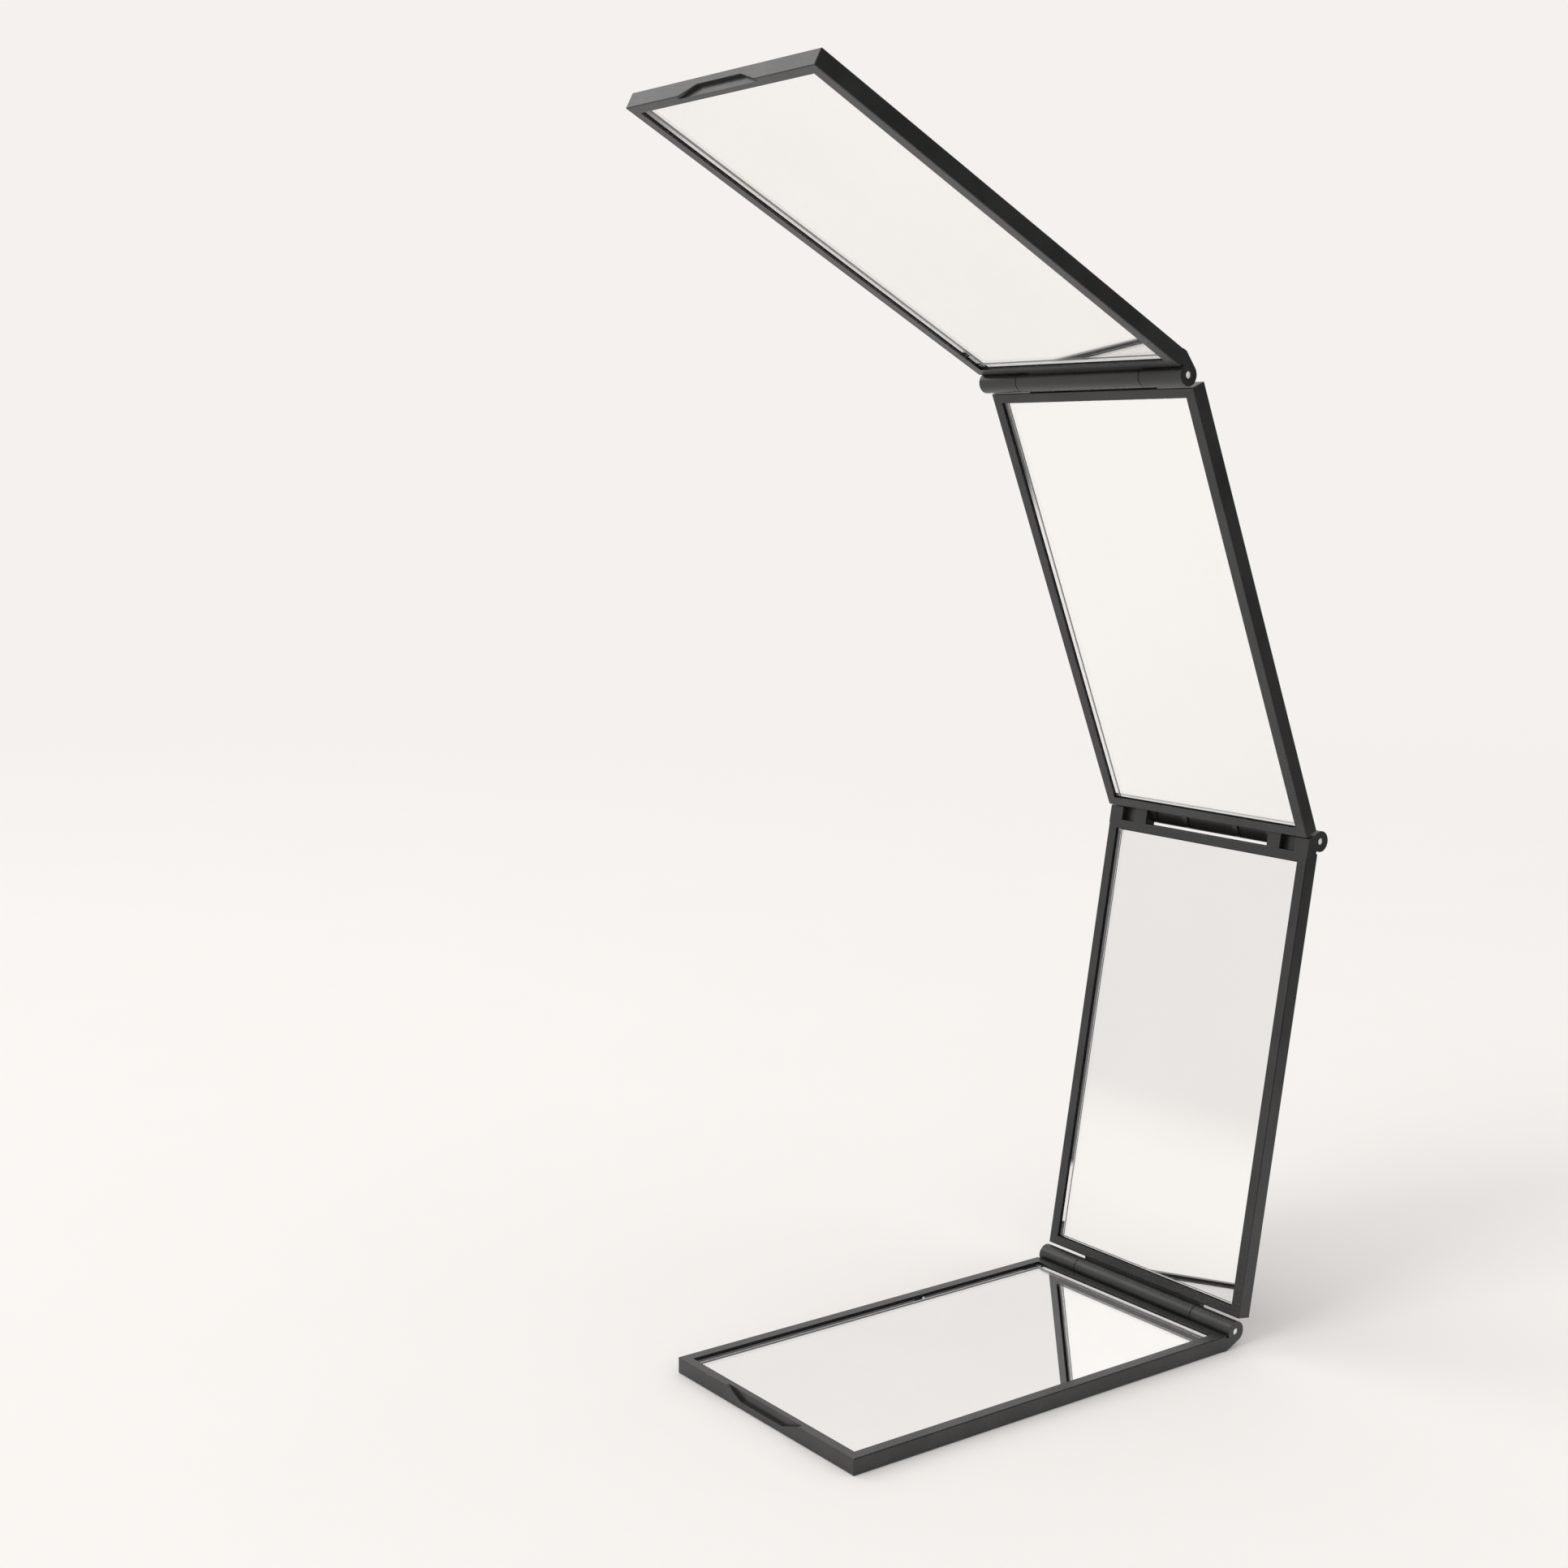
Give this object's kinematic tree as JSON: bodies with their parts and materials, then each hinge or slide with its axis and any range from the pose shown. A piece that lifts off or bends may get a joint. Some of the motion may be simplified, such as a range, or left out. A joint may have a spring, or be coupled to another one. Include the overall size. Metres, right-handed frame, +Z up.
{
  "type": "folding multi-angle mirror",
  "caption": "Pocket mirror with slim framed panels joined end to end by pinned hinges. It folds flat in a zigzag and stands up with each mirror at its own angle.",
  "frame": {"origin": "middle of the base panel's flat underside", "axes": "+X along the hinge pins, the base panel's free end towards -Y, +Z up"},
  "size_m": [0.06, 0.1417, 0.2609],
  "materials": {
    "tray_plastic": "fine matte moulded texture",
    "mirror_glass": "polished glass, silvered at the back, ground arris",
    "adhesive": "matte foam sheet",
    "pin_steel": "cut wire end"
  },
  "bodies": {
    "base": {"base_tray": "tray_plastic", "base_mirror": "mirror_glass", "base_adhesive": "adhesive", "base_hinge_pin": "pin_steel"},
    "lower": {"lower_tray": "tray_plastic", "lower_mirror": "mirror_glass", "lower_adhesive": "adhesive", "back_hinge_pin": "pin_steel"},
    "upper": {"upper_tray": "tray_plastic", "upper_mirror": "mirror_glass", "upper_adhesive": "adhesive"},
    "top": {"top_tray": "tray_plastic", "top_mirror": "mirror_glass", "top_adhesive": "adhesive", "top_hinge_pin": "pin_steel"}
  },
  "joints": [
    {"name": "base_hinge", "type": "hinge", "parent": "base", "child": "lower", "pos_m": [0, 0.05443, 0.0038], "axis": [1, 0, 0], "range_deg": [-80.7, 99.3]},
    {"name": "back_hinge", "type": "hinge", "parent": "lower", "child": "upper", "pos_m": [0, 0.07599, 0.11011], "axis": [1, 0, 0], "range_deg": [-212, 0]},
    {"name": "top_hinge", "type": "hinge", "parent": "upper", "child": "top", "pos_m": [0, 0.03037, 0.20853], "axis": [1, 0, 0], "range_deg": [-39.7, 140.3]}
  ]
}
